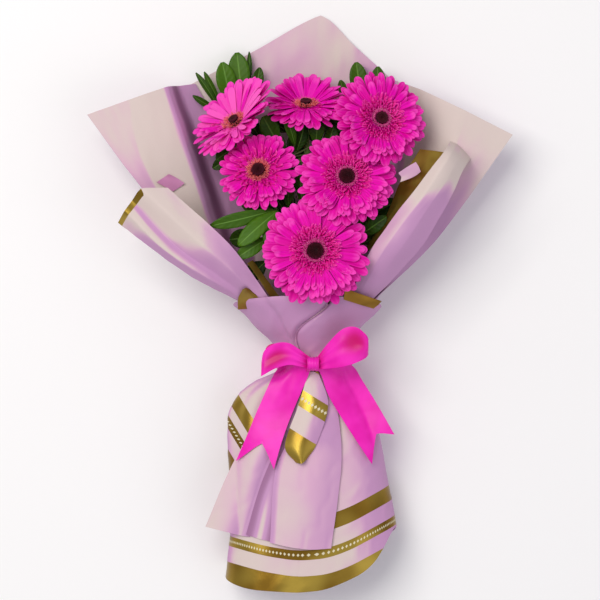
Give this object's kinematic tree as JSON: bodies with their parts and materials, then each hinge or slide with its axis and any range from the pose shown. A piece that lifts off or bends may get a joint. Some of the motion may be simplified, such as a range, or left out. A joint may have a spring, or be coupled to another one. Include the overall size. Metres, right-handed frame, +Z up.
{
  "type": "wrapped gerbera bouquet",
  "caption": "Hot-pink gerberas with glossy foliage in a pink and gold paper wrap tied with a satin bow, lying on its back.",
  "frame": {"origin": "middle of the underside: the centre of the overall box in X and Y, on the surface that the bouquet lies on", "axes": "+Y from the skirt towards the flower heads and the peak of the back sheet, +Z up from the surface, the way the flowers face, +X to the right of someone looking down on them"},
  "size_m": [0.4263, 0.5824, 0.1252],
  "materials": {
    "paper": "matte",
    "gold": "satin",
    "ribbon": "satin",
    "petal": "matte",
    "floret": "matte",
    "disc": "matte",
    "stem": "satin",
    "leaf": "satin",
    "tie": "matte"
  },
  "bodies": {
    "root": {"back_sheet": "paper", "band_left": "ribbon", "band_right": "ribbon", "collar_left": "paper", "collar_right": "paper", "disc_front": "disc", "disc_left": "disc", "disc_middle_left": "disc", "disc_middle_right": "disc", "disc_right": "disc", "disc_top": "disc", "florets_front": "floret", "florets_left": "floret", "florets_middle_left": "floret", "florets_middle_right": "floret", "florets_right": "floret", "florets_top": "floret", "knot": "ribbon", "left_flap": "paper", "left_sheet": "paper", "loop_left": "ribbon", "loop_right": "ribbon", "paper_tail": "paper", "rays_front": "petal", "rays_left": "petal", "rays_middle_left": "petal", "rays_middle_right": "petal", "rays_right": "petal", "rays_top": "petal", "ribbon_tail_left": "ribbon", "ribbon_tail_right": "ribbon", "right_flap": "paper", "right_sheet": "paper", "skirt_back": "paper", "skirt_front": "paper", "skirt_left": "paper", "skirt_right": "paper", "sprig_centre": "leaf", "sprig_far_left": "leaf", "sprig_inner": "leaf", "sprig_lower_left": "leaf", "sprig_lower_right": "leaf", "sprig_under_left": "leaf", "sprig_upper_left": "leaf", "sprig_upper_right": "leaf", "stem_front": "stem", "stem_left": "stem", "stem_middle_left": "stem", "stem_middle_right": "stem", "stem_right": "stem", "stem_tie": "tie", "stem_top": "stem", "tail_left": "paper", "tail_right": "paper"}
  },
  "joints": []
}
